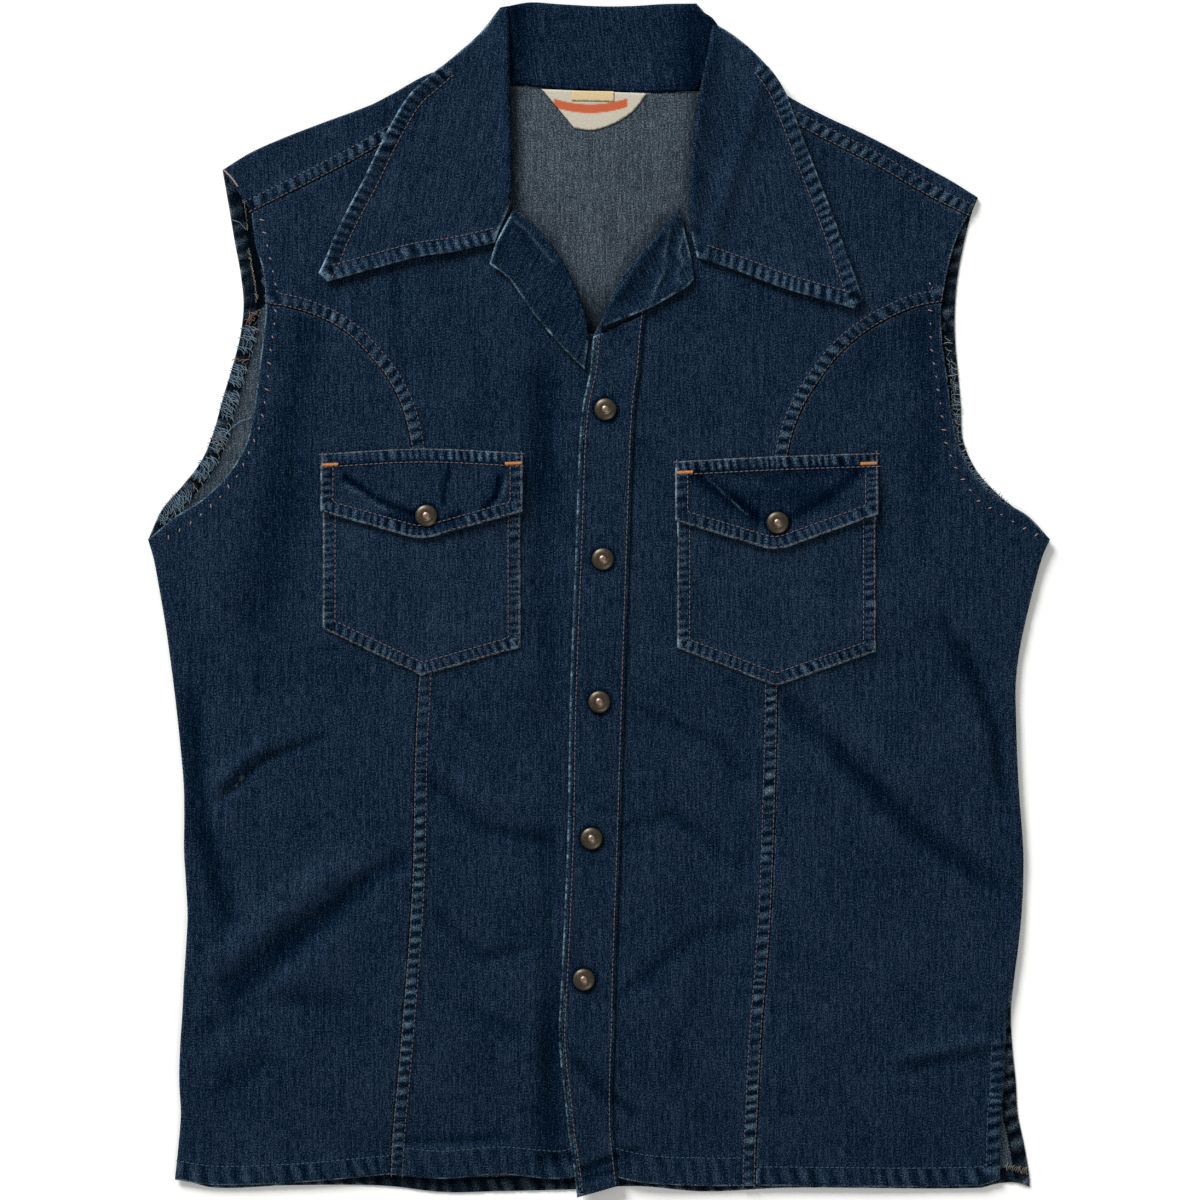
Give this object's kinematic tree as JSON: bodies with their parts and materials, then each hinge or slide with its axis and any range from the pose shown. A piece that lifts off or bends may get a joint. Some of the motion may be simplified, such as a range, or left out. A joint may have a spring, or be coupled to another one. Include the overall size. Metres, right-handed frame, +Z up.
{
  "type": "denim vest",
  "caption": "Sleeveless western denim vest laid flat, with a long-pointed collar, snapped placket, flapped chest pockets and roughly cut armholes.",
  "frame": {"origin": "under the middle of the laid-out vest, on the surface it rests on", "axes": "+Y towards the collar, +X to the right as seen from above, +Z up out of the cloth"},
  "size_m": [0.5224, 0.6922, 0.0108],
  "materials": {
    "denim": "matte twill, worn lighter at the edges",
    "denim_inside": "matte, the pale weft side of the twill",
    "snap_brass": "antique, dulled",
    "label_cloth": "woven, matte"
  },
  "bodies": {
    "root": {"back": "denim_inside", "front_side_left": "denim", "front_centre_left": "denim", "front_side_right": "denim", "front_centre_right": "denim", "collar": "denim", "facing_left": "denim", "facing_right": "denim", "pocket_left": "denim", "pocket_right": "denim", "flap_left": "denim", "flap_right": "denim", "placket": "denim", "snap_1": "snap_brass", "snap_2": "snap_brass", "snap_3": "snap_brass", "snap_4": "snap_brass", "snap_5": "snap_brass", "pocket_snap_left": "snap_brass", "pocket_snap_right": "snap_brass", "label": "label_cloth"}
  },
  "joints": []
}
